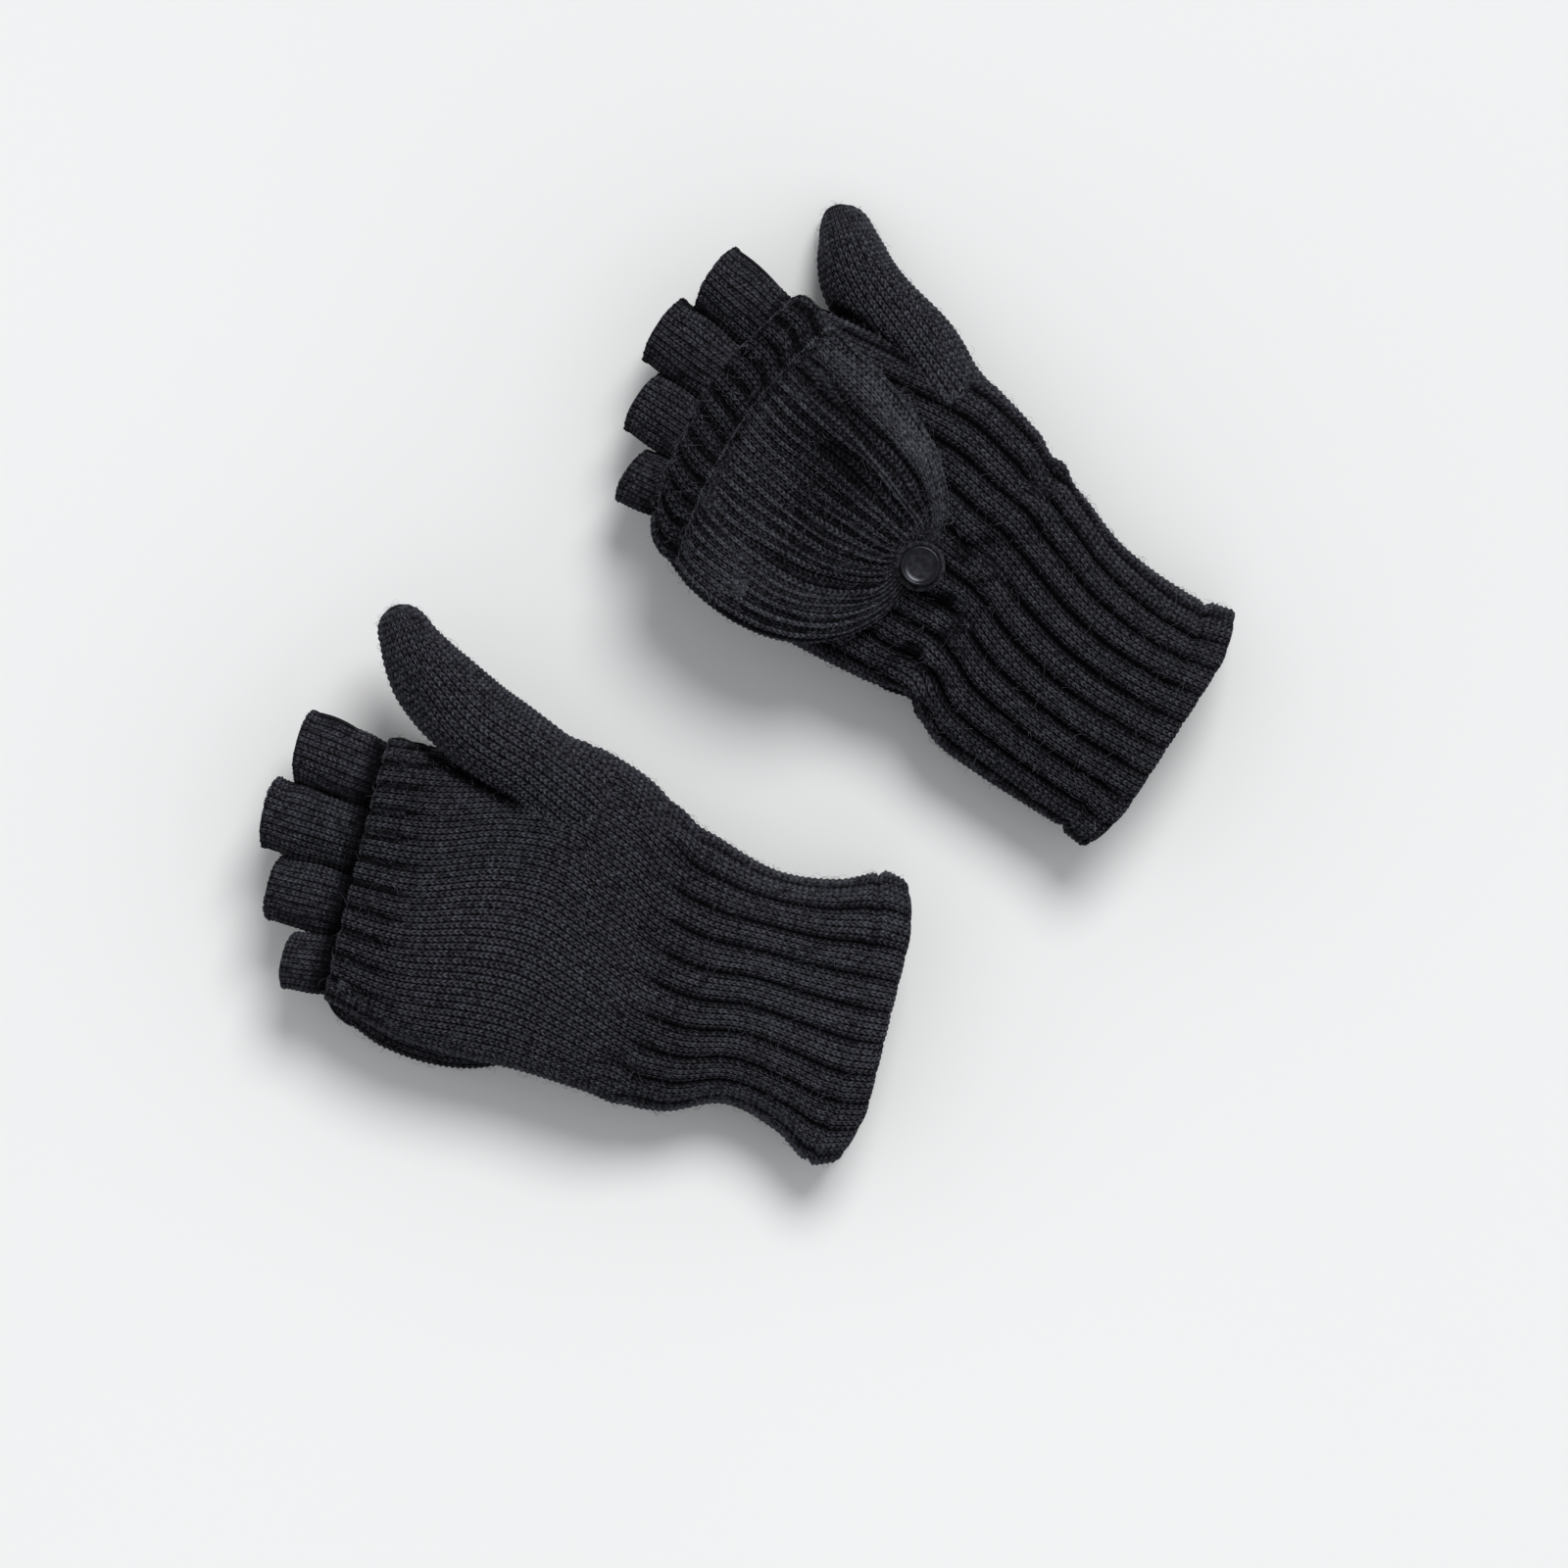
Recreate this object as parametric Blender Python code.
"""A pair of knitted convertible mittens, lying side by side on a flat surface.

Each mitten is a half-finger glove inside a mitten body. A pouch with a turned-up hem is hinged across the
knuckles on the back of the hand. It is folded back and held by a loop round a button at the wrist, and it
swings over to close the mitten. The left mitten lies with the back of the hand up, the right one palm up.

Sizes are in millimetres and MM turns them into metres. In a mitten's own frame +X runs from the wrist to the
fingers with 0 at the knuckles, +Y runs from the thumb to the little finger and Z is the height above the
surface. A depth is measured from the middle of the hand, and is positive towards the back of the hand.
"""

import math
from dataclasses import dataclass

import bmesh
import bpy
from mathutils import Vector

MM = 0.001
GAP = 0.3  # between neighbouring pieces

# Knitted walls
WALL = 2.4  # outer mitten and pouch
LINER_WALL = 1.8  # half-finger glove
HAND_THICK = 33.0  # outside, palm to back
HAND_SQUARE = 3.0  # superellipse exponent of the hand's section
CUFF_SQUARE = 2.4
SQUARE_EASE = 25.0  # length over which the hand's section turns into the cuff's
FLOOR_PRESS = 0.8  # a cuff sags this much, and lies flat on the surface

# Lengths along the hand, from the knuckle line
WRIST_X = -100.0  # where the hand's panels end and the cuff begins
CUFF_X = -172.0
CUFF_ROLL = 3.2  # width of the rolled edge at the cuff's end
ROLL_OUTER = (0.6, 0.0, 0.2)  # depth of the roll's outer and inner sides at its end, middle and start
ROLL_INNER = (2.2, 3.0, 2.8)
BAND_X = -22.0  # wrist side of the ribbed band along the palm's edge
PALM_LIP = 2.0  # the palm's edge stands this far past the knuckle line
LINER_X = -46.0
ELASTIC_X = (-111.0, -104.0)
ELASTIC_CLEAR = 0.8
ELASTIC_THICK = 1.0

# Pouch that closes the mitten, as it lies folded back. Levels are above the back of the hand.
POUCH_LONG = 80.0
POUCH_HALF = 47.5
POUCH_MIDDLE = (2.5, 13.5)  # y of its middle line at the mouth and at the tip
POUCH_ROOM = 4.8  # free height inside it
PUFF_EASE = 0.35  # share of its length over which the front comes down to the tip
PUFF_END = 0.84  # share of its length where the front lies down round the button
MOUTH_NARROW = 0.06  # share of its half width that it loses at the mouth
MOUTH_EASE = 0.25  # share of its length over which it does
MOUTH_BULGE = 7.0  # its mouth curves out over the fingers
MOUTH_X = 2.0
HEM_WIDE = 15.0
BACK_LEVEL = GAP
FRONT_LEVEL = BACK_LEVEL + WALL + GAP
HEM_LEVEL = FRONT_LEVEL + POUCH_ROOM + WALL + GAP
POUCH_HIGH = HEM_LEVEL + WALL
SEAM_X = (GAP, 2.3)
SEAM_LONG = 64.0
SEAM_LEVELS = (-1.0, BACK_LEVEL + WALL)
HINGE_LEVEL = BACK_LEVEL + WALL / 2

# Button and its loop
BUTTON_X = -77.7
BUTTON_Y = 10.6
BUTTON_R = 6.35
SHANK_R = 1.6
SHANK_WIRE = 0.5
TACK_R = 2.6
TACK_HIGH = 0.5
SHANK_LEVEL = BACK_LEVEL + TACK_HIGH + GAP + SHANK_R + SHANK_WIRE
CAP_LEVEL = SHANK_LEVEL + SHANK_R + SHANK_WIRE + GAP
CAP_HIGH = 2.2
LOOP_R = 8.2
LOOP_CORD = 0.9
LOOP_LEVEL = 2.3
NOTCH_R = 11.3  # the pouch's tip is gathered round the button, clear of the loop
TACK_BAR = (1.0, 7.0, 2.4)  # bar that holds the loop to the pouch

# Half fingers: base and end centres across the hand, base and end radii, length past the knuckles
FINGERS = {
    "index": (-27.6, -31.9, 10.4, 11.3, 30.0),
    "middle": (-6.3, -8.6, 10.4, 11.2, 35.0),
    "ring": (14.5, 14.3, 9.8, 10.3, 28.0),
    "little": (33.4, 36.0, 8.6, 8.9, 18.0),
}
FINGER_X = -2.0  # where the half fingers leave the liner's end wall
TIP_SHARES = (0.45, 0.8, 0.97)  # of the thumb's end radius: how far its tip's rings lie past the end
THUMB_OPEN = 8.0  # its opening runs this far past the second point of its middle line

CUT_PAST = 1.0  # a cutter runs at least this far past what it cuts
SEGMENTS = 24
HALF_SEGMENTS = 12
ROUND_SEGMENTS = 16  # round a thumb or a half finger
ROW_STEP = 12.5

KNIT = (0.013, 0.014, 0.020)
METAL = (0.030, 0.031, 0.036)


@dataclass
class Mitten:
    """One mitten's place and outline.

    place: where the middle of the knuckle line lies, so that the pair's box is centred on the origin
    stations: x, the index side's y, the little-finger side's y, lowest z, highest z
    thumb: x, y, depth and radius along the thumb's middle line, from inside the hand to the tip
    """

    side: str
    back: int  # +1 with the back of the hand up, -1 with it down
    turn: float  # degrees, of +X about the vertical
    place: tuple
    low: float  # height of the hand's lower side
    stations: tuple
    thumb: tuple

    @property
    def back_z(self):
        return self.middle_z + self.back * HAND_THICK / 2

    @property
    def middle_z(self):
        return self.low + HAND_THICK / 2

    def level(self, height):
        """Height above the surface of a level above the back of the hand."""
        return self.back_z + self.back * height


LEFT_LOW = 10.0  # room under the palm for the pouch's front and hem when it is closed
RIGHT_LOW = POUCH_HIGH  # this mitten lies on its folded pouch
LEFT = Mitten(
    side="left",
    back=1,
    turn=147.0,
    place=(-6.436, 88.11),
    low=LEFT_LOW,
    stations=(
        (-176.0, -34.5, 58.0, 0.0, 42.0),
        (-165.0, -31.0, 57.0, 0.0, 41.0),
        (-148.0, -29.5, 57.0, 0.0, 40.0),
        (-130.0, -32.5, 57.0, 0.0, 40.0),
        (-112.0, -39.0, 55.0, 1.5, 40.0),
        (-97.0, -43.0, 48.5, 5.5, 41.0),
        (-84.0, -47.0, 50.5, LEFT_LOW, LEFT_LOW + HAND_THICK),
        (-65.0, -50.0, 53.0, LEFT_LOW, LEFT_LOW + HAND_THICK),
        (-45.0, -47.5, 53.5, LEFT_LOW, LEFT_LOW + HAND_THICK),
        (-20.0, -44.5, 52.0, LEFT_LOW, LEFT_LOW + HAND_THICK),
        (4.0, -42.0, 47.0, LEFT_LOW, LEFT_LOW + HAND_THICK),
    ),
    thumb=(
        (-66.0, -26.0, -2.0, 14.5),
        (-50.0, -38.0, -5.0, 15.5),
        (-32.0, -47.5, -9.5, 15.0),
        (-14.5, -55.5, -12.7, 13.8),
        (-5.5, -61.0, -14.3, 12.2),
        (2.0, -67.0, -17.0, 9.5),
    ),
)
RIGHT = Mitten(
    side="right",
    back=-1,
    turn=166.0,
    place=(-124.536, -57.29),
    low=RIGHT_LOW,
    stations=(
        (-176.0, -35.0, 56.0, 0.0, 42.0),
        (-163.0, -37.0, 60.0, 0.0, 41.0),
        (-148.0, -32.5, 54.0, 0.0, 40.0),
        (-130.0, -30.5, 50.0, 0.0, 40.0),
        (-112.0, -34.0, 56.5, 3.0, 41.0),
        (-97.0, -40.0, 57.0, 9.0, 43.5),
        (-84.0, -48.5, 55.5, RIGHT_LOW, RIGHT_LOW + HAND_THICK),
        (-65.0, -53.5, 54.0, RIGHT_LOW, RIGHT_LOW + HAND_THICK),
        (-45.0, -48.5, 53.5, RIGHT_LOW, RIGHT_LOW + HAND_THICK),
        (-20.0, -44.5, 52.0, RIGHT_LOW, RIGHT_LOW + HAND_THICK),
        (4.0, -42.0, 47.0, RIGHT_LOW, RIGHT_LOW + HAND_THICK),
    ),
    thumb=(
        (-64.0, -24.0, -2.0, 14.5),
        (-47.0, -39.0, -5.0, 15.5),
        (-25.0, -50.5, -8.5, 15.3),
        (-9.0, -61.5, -10.5, 14.0),
        (-1.0, -68.5, -11.0, 12.0),
        (4.5, -75.0, -11.0, 9.3),
    ),
)


# Shared shapes

AHEAD = Vector((1, 0, 0))


def spans(start, stop, step):
    """Evenly spaced values from start to stop, no further apart than step."""
    count = max(1, math.ceil(abs(stop - start) / step - 1e-6))
    return [start + (stop - start) * i / count for i in range(count + 1)]


def smooth_between(table, x):
    """The rest of a table's row at x, on a smooth curve through the rows."""
    xs = [row[0] for row in table]
    x = min(max(x, xs[0]), xs[-1])
    i = max(n for n in range(len(xs) - 1) if xs[n] <= x or n == 0)
    t = (x - xs[i]) / (xs[i + 1] - xs[i])
    before, after = max(i - 1, 0), min(i + 2, len(xs) - 1)
    values = []
    for k in range(1, len(table[0])):
        here, there = table[i][k], table[i + 1][k]
        width = xs[i + 1] - xs[i]
        slope_in = (there - table[before][k]) / (xs[i + 1] - xs[before]) * width
        slope_out = (table[after][k] - here) / (xs[after] - xs[i]) * width
        values.append(
            here * (2 * t**3 - 3 * t**2 + 1)
            + slope_in * (t**3 - 2 * t**2 + t)
            + there * (3 * t**2 - 2 * t**3)
            + slope_out * (t**3 - t**2)
        )
    return values


def signed_power(value, power):
    return math.copysign(abs(value) ** power, value)


def body_point(m, x, angle, inset):
    """A point on the mitten's oval section at x. Angle 0 is the little finger's side, 90 the back."""
    y_index, y_little, z_low, z_high = smooth_between(m.stations, x)
    ease = min(max((WRIST_X - x) / SQUARE_EASE, 0.0), 1.0)
    power = 2 / (HAND_SQUARE + (CUFF_SQUARE - HAND_SQUARE) * ease)
    half_wide = (y_little - y_index) / 2 - inset
    half_thick = (z_high - z_low) / 2 + FLOOR_PRESS * (z_low < FLOOR_PRESS) - inset
    y = (y_index + y_little) / 2 + half_wide * signed_power(math.cos(angle), power)
    z = (z_high + z_low) / 2 + m.back * half_thick * signed_power(math.sin(angle), power)
    return Vector((x, y, max(z, inset)))


def ring(m, x, inset, segments=SEGMENTS):
    return [body_point(m, x, 2 * math.pi * k / segments, inset) for k in range(segments)]


def half_ring(m, x, inset, back):
    """Half a section, the back's or the palm's, ending GAP/2 from the middle plane."""
    points = []
    for k in range(HALF_SEGMENTS + 1):
        angle = math.pi * k / HALF_SEGMENTS
        point = body_point(m, x, angle if back else -angle, inset)
        if k in (0, HALF_SEGMENTS):
            middle = sum(smooth_between(m.stations, x)[2:]) / 2
            point.z = middle + m.back * (GAP / 2 if back else -GAP / 2)
        points.append(point)
    return points


def tube_rings(path, segments, shrink=0.0, facing=None):
    """Rings round a path of (point, radius), each square to the path or facing one way."""
    rings = []
    for i, (centre, radius) in enumerate(path):
        ahead = path[min(i + 1, len(path) - 1)][0]
        behind = path[max(i - 1, 0)][0]
        along = facing or (ahead - behind).normalized()
        side = along.cross(Vector((0, 0, 1))).normalized()
        up = side.cross(along)
        rings.append(
            [
                centre
                + (side * math.cos(a) + up * math.sin(a)) * (radius - shrink)
                for a in (2 * math.pi * k / segments for k in range(segments))
            ]
        )
    return rings


# Solids


def finish_mesh(bm, name, mitten, colour, roughness, metallic=0.0):
    """Turns a bmesh into a smooth-shaded object with its own material, in the mitten's frame."""
    bmesh.ops.recalc_face_normals(bm, faces=bm.faces)
    mesh = bpy.data.meshes.new(name)
    bm.to_mesh(mesh)
    bm.free()
    mesh.shade_smooth()
    mesh.set_sharp_from_angle(angle=math.radians(35))
    material = bpy.data.materials.new(name)
    material.use_nodes = True
    shader = material.node_tree.nodes["Principled BSDF"]
    shader.inputs["Base Color"].default_value = (*colour, 1)
    shader.inputs["Roughness"].default_value = roughness
    shader.inputs["Metallic"].default_value = metallic
    material.diffuse_color = (*colour, 1)
    mesh.materials.append(material)
    made = bpy.data.objects.new(name, mesh)
    bpy.context.collection.objects.link(made)
    made.parent = FRAMES[mitten.side]
    return made


def knit(bm, name, mitten):
    return finish_mesh(bm, f"{mitten.side}_{name}", mitten, KNIT, 0.95)


def add_rings(bm, rings):
    return [[bm.verts.new(p * MM) for p in ring_points] for ring_points in rings]


def skin(bm, rows, closed):
    """Faces between neighbouring rows of vertices."""
    for row, following in zip(rows, rows[1:]):
        count = len(row)
        for k in range(count if closed else count - 1):
            n = (k + 1) % count
            bm.faces.new((row[k], row[n], following[n], following[k]))


def sleeve(outer, inner):
    """A wall between two sets of closed rings, open at both ends."""
    bm = bmesh.new()
    out, into = add_rings(bm, outer), add_rings(bm, inner)
    skin(bm, out, True)
    skin(bm, into, True)
    skin(bm, [out[0], into[0]], True)
    skin(bm, [out[-1], into[-1]], True)
    return bm


def plug(rings):
    """A solid with an end face on its first and last rings."""
    bm = bmesh.new()
    made = add_rings(bm, rings)
    skin(bm, made, True)
    bm.faces.new(made[0])
    bm.faces.new(made[-1])
    return bm


def slab(outer, inner):
    """A sheet with thickness, between two matching grids of points."""
    bm = bmesh.new()
    out, into = add_rings(bm, outer), add_rings(bm, inner)
    skin(bm, out, False)
    skin(bm, into, False)
    skin(bm, [out[0], into[0]], False)
    skin(bm, [out[-1], into[-1]], False)
    skin(bm, [[row[0] for row in out], [row[0] for row in into]], False)
    skin(bm, [[row[-1] for row in out], [row[-1] for row in into]], False)
    return bm


def cup(outer, inner):
    """A wall open at its first ring and closed at its last."""
    bm = bmesh.new()
    out, into = add_rings(bm, outer), add_rings(bm, inner)
    skin(bm, out, True)
    skin(bm, into, True)
    skin(bm, [out[0], into[0]], True)
    bm.faces.new(out[-1])
    bm.faces.new(into[-1])
    return bm


def disc(centre, profile, segments=SEGMENTS):
    """A turned solid about a vertical axis. profile: (radius, z), from the lower to the upper side."""
    rings = []
    for radius, z in profile:
        angles = [2 * math.pi * k / segments for k in range(segments)]
        rings.append(
            [Vector((centre.x + radius * math.cos(a), centre.y + radius * math.sin(a), z)) for a in angles]
        )
    return plug(rings)


def torus(centre, radius, wire, upright, segments, sides):
    """A ring of round wire, lying flat or standing in the XZ plane."""
    bm = bmesh.new()
    rows = []
    for i in range(segments):
        a = 2 * math.pi * i / segments
        out = Vector((math.cos(a), 0, math.sin(a))) if upright else Vector((math.cos(a), math.sin(a), 0))
        across = Vector((0, 1, 0)) if upright else Vector((0, 0, 1))
        row = []
        for k in range(sides):
            b = 2 * math.pi * k / sides
            point = centre + out * (radius + wire * math.cos(b)) + across * wire * math.sin(b)
            row.append(bm.verts.new(point * MM))
        rows.append(row)
    skin(bm, rows + [rows[0]], True)
    return bm


def box(middle, size):
    bm = bmesh.new()
    made = bmesh.ops.create_cube(bm, size=1.0)
    for v in made["verts"]:
        v.co = (middle + Vector(a * b for a, b in zip(v.co, size))) * MM
    return bm


def cutter(bm, name, mitten):
    """A guide that only cuts other pieces."""
    made = knit(bm, name, mitten)
    made.hide_render = True
    made.display_type = "WIRE"
    return made


def cut(piece, *cutters):
    for tool in cutters:
        modifier = piece.modifiers.new(f"cut by {tool.name}", "BOOLEAN")
        modifier.operation = "DIFFERENCE"
        modifier.solver = "EXACT"
        modifier.object = tool


def put_origin(piece, mitten, point):
    """Moves a piece's origin to a point on its joint's axis, without moving its shape."""
    shift = point * MM
    for v in piece.data.vertices:
        v.co -= shift
    piece.location = shift


# The hand


def make_panels(m, thumb_room):
    rows = spans(WRIST_X, 0.0, ROW_STEP)
    back = slab([half_ring(m, x, 0, True) for x in rows], [half_ring(m, x, WALL, True) for x in rows])
    rows = spans(WRIST_X, BAND_X - GAP, ROW_STEP)
    palm = slab([half_ring(m, x, 0, False) for x in rows], [half_ring(m, x, WALL, False) for x in rows])
    rows = spans(BAND_X, PALM_LIP, ROW_STEP)
    band = slab([half_ring(m, x, 0, False) for x in rows], [half_ring(m, x, WALL, False) for x in rows])
    cut(knit(back, "back_panel", m), thumb_room)
    cut(knit(palm, "palm_panel", m), thumb_room)
    knit(band, "palm_ribbed_band", m)


def make_cuff(m):
    rows = spans(CUFF_X, WRIST_X - GAP, ROW_STEP)
    knit(sleeve([ring(m, x, 0) for x in rows], [ring(m, x, WALL) for x in rows]), "cuff", m)
    start = CUFF_X - GAP - CUFF_ROLL
    rows = spans(start, CUFF_X - GAP, CUFF_ROLL / 2)
    outer = [ring(m, x, inset) for x, inset in zip(rows, ROLL_OUTER)]
    inner = [ring(m, x, inset) for x, inset in zip(rows, ROLL_INNER)]
    knit(sleeve(outer, inner), "cuff_edge", m)
    start, stop = ELASTIC_X
    outer = [ring(m, x, WALL + ELASTIC_CLEAR) for x in (start, stop)]
    inner = [ring(m, x, WALL + ELASTIC_CLEAR + ELASTIC_THICK) for x in (start, stop)]
    knit(sleeve(outer, inner), "wrist_elastic", m)


def thumb_path(m):
    """The thumb's middle line with its radii, ending in a rounded tip."""
    path = [(Vector((x, y, m.middle_z + m.back * depth)), radius) for x, y, depth, radius in m.thumb]
    (before, _), (end, radius) = path[-2], path[-1]
    along = (end - before).normalized()
    for share in TIP_SHARES:
        path.append((end + along * radius * share, radius * math.sqrt(1 - share**2)))
    return path


def make_thumb(m):
    """The thumb and the room in it, which also opens the hand's side."""
    path = thumb_path(m)
    rings = tube_rings(path, ROUND_SEGMENTS)
    room = tube_rings(path[:-1], ROUND_SEGMENTS, WALL)
    thumb = knit(cup(rings, room), "thumb", m)
    rows = spans(WRIST_X, 0.0, ROW_STEP)
    hand = cutter(plug([ring(m, x, -GAP, 2 * HALF_SEGMENTS) for x in rows]), "thumb_trim", m)
    cut(thumb, hand)
    (base, radius), (into, _) = path[:2]
    opening = [(base, radius), (into + (into - base).normalized() * THUMB_OPEN, radius)]
    return cutter(plug(tube_rings(opening, ROUND_SEGMENTS, WALL)), "thumb_room", m)


def finger_path(m, finger, start, stop):
    base_y, end_y, base_r, end_r, length = FINGERS[finger]
    path = []
    for x in (start, stop):
        share = (x - FINGER_X) / (length - FINGER_X)
        y = base_y + (end_y - base_y) * share
        path.append((Vector((x, y, m.middle_z)), base_r + (end_r - base_r) * share))
    return path


def make_liner(m):
    """The half-finger glove: a sleeve with an end wall, and the four half fingers that leave it."""
    skin_in = WALL + GAP
    rows = spans(LINER_X, FINGER_X - GAP, ROW_STEP)
    liner = knit(plug([ring(m, x, skin_in) for x in rows]), "liner", m)
    rows = spans(LINER_X - 5 * CUT_PAST, FINGER_X - GAP - LINER_WALL, ROW_STEP)
    cut(liner, cutter(plug([ring(m, x, skin_in + LINER_WALL) for x in rows]), "liner_room", m))
    for finger, (_, _, _, _, length) in FINGERS.items():
        hole_path = finger_path(m, finger, FINGER_X - 6 * CUT_PAST, FINGER_X + 4 * CUT_PAST)
        hole = tube_rings(hole_path, ROUND_SEGMENTS, LINER_WALL, AHEAD)
        cut(liner, cutter(plug(hole), f"{finger}_room", m))
        path = finger_path(m, finger, FINGER_X, length)
        bm = sleeve(*(tube_rings(path, ROUND_SEGMENTS, inset, AHEAD) for inset in (0, LINER_WALL)))
        knit(bm, f"{finger}_half_finger", m)


# The pouch


def pouch_middle(t):
    """How far the pouch's middle line leans towards the little finger, t from its mouth to its tip."""
    mouth, tip = POUCH_MIDDLE
    return mouth + (tip - mouth) * (1 - (1 - t) ** 3)


def pouch_half(t):
    narrow = MOUTH_NARROW * max(1 - t / MOUTH_EASE, 0.0)
    return POUCH_HALF * math.sqrt(max(1 - t**4, 0.0)) * (1 - narrow)


def pouch_grid(m, mouth, level, bulge=0.0, rows=8, columns=12, stop=0.985):
    """Points over the pouch. mouth(v) is its edge's x, v from -1 at the index side to 1."""
    grid = []
    for i in range(rows + 1):
        t = stop * i / rows
        line = []
        for k in range(columns + 1):
            v = 2 * k / columns - 1
            x = mouth(v) * (1 - t) - POUCH_LONG * t
            y = pouch_middle(t) + v * pouch_half(t)
            puff = bulge * (1 - v**6) * min(1.0, (1 - t) / PUFF_EASE) * (t < PUFF_END)
            line.append(Vector((x, y, m.level(level + puff))))
        grid.append(line)
    return grid


def straight_mouth(v):
    return -GAP


def curved_mouth(v):
    return MOUTH_X + MOUTH_BULGE * (1 - v * v)


def make_pouch(m):
    """Back and front of the pouch, the turned-up hem and the seam that hinges it to the hand."""
    notch_middle = Vector((BUTTON_X, BUTTON_Y, 0))
    reach = (m.level(-CUT_PAST), m.level(POUCH_HIGH + CUT_PAST))
    notch = cutter(disc(notch_middle, [(NOTCH_R, z) for z in reach]), "button_notch", m)
    grid = pouch_grid(m, straight_mouth, BACK_LEVEL)
    back = knit(slab(grid, pouch_grid(m, straight_mouth, BACK_LEVEL + WALL)), "pouch_back", m)
    under = pouch_grid(m, curved_mouth, FRONT_LEVEL, POUCH_ROOM)
    over = pouch_grid(m, curved_mouth, FRONT_LEVEL + WALL, POUCH_ROOM)
    front = knit(slab(over, under), "pouch_front", m)
    cut(back, notch)
    cut(front, notch)
    hem_t = HEM_WIDE / POUCH_LONG
    hem_low = pouch_grid(m, curved_mouth, FRONT_LEVEL + WALL + GAP, POUCH_ROOM, 1, 12, hem_t)
    hem_high = pouch_grid(m, curved_mouth, FRONT_LEVEL + 2 * WALL + GAP, POUCH_ROOM, 1, 12, hem_t)
    hem = knit(slab(hem_high, hem_low), "pouch_hem", m)
    seam_middle = Vector((sum(SEAM_X) / 2, pouch_middle(0), m.level(sum(SEAM_LEVELS) / 2)))
    seam_size = Vector((SEAM_X[1] - SEAM_X[0], SEAM_LONG, SEAM_LEVELS[1] - SEAM_LEVELS[0]))
    knit(box(seam_middle, seam_size), "knuckle_seam", m)
    hinge = Vector((sum(SEAM_X) / 2, pouch_middle(0), m.level(HINGE_LEVEL)))
    put_origin(back, m, hinge)
    tip = Vector((-POUCH_LONG, pouch_middle(1), m.level(FRONT_LEVEL)))
    put_origin(front, m, tip)
    put_origin(hem, m, tip)


def make_button(m):
    """A metal button on a wire shank, sewn to the back of the wrist, and the loop that goes round it."""
    middle = Vector((BUTTON_X, BUTTON_Y, 0))
    levels = ((TACK_R, BACK_LEVEL), (TACK_R, BACK_LEVEL + TACK_HIGH))
    knit(disc(middle, [(r, m.level(h)) for r, h in levels], 12), "button_stitches", m)
    centre = Vector((BUTTON_X, BUTTON_Y, m.level(SHANK_LEVEL)))
    shank = torus(centre, SHANK_R, SHANK_WIRE, True, 16, 6)
    cap_profile = (
        (BUTTON_R - 0.9, 0.0),
        (BUTTON_R, 0.5),
        (BUTTON_R, CAP_HIGH - 0.3),
        (BUTTON_R - 0.3, CAP_HIGH),
        (BUTTON_R - 1.0, CAP_HIGH),
        (BUTTON_R - 1.3, CAP_HIGH - 0.4),
    )
    cap = disc(middle, [(r, m.level(CAP_LEVEL + h)) for r, h in cap_profile])
    for bm, name in ((shank, "button_shank"), (cap, "button_cap")):
        piece = finish_mesh(bm, f"{m.side}_{name}", m, METAL, 0.28, 0.9)
        put_origin(piece, m, centre)
    centre = Vector((BUTTON_X, BUTTON_Y, m.level(LOOP_LEVEL)))
    loop = knit(torus(centre, LOOP_R, LOOP_CORD, False, 24, 8), "button_loop", m)
    put_origin(loop, m, centre + Vector((LOOP_R, 0, 0)))
    bar = Vector(TACK_BAR)
    bar_x = BUTTON_X + LOOP_R + LOOP_CORD + GAP + bar.x / 2
    bar_middle = Vector((bar_x, BUTTON_Y, m.level(BACK_LEVEL + bar.z / 2)))
    knit(box(bar_middle, bar), "loop_bar_tack", m)


def make_mitten(m):
    room = make_thumb(m)
    make_panels(m, room)
    make_cuff(m)
    make_liner(m)
    make_pouch(m)
    make_button(m)


def make_frame(m):
    """An empty at the middle of the knuckle line, turned so that its +X runs along the fingers."""
    frame = bpy.data.objects.new(f"{m.side}_frame", None)
    bpy.context.collection.objects.link(frame)
    frame.location = Vector((*m.place, 0)) * MM
    frame.rotation_euler.z = math.radians(m.turn)
    return frame


for old in list(bpy.data.objects):
    bpy.data.objects.remove(old)
FRAMES = {m.side: make_frame(m) for m in (LEFT, RIGHT)}
for mitten in (LEFT, RIGHT):
    make_mitten(mitten)
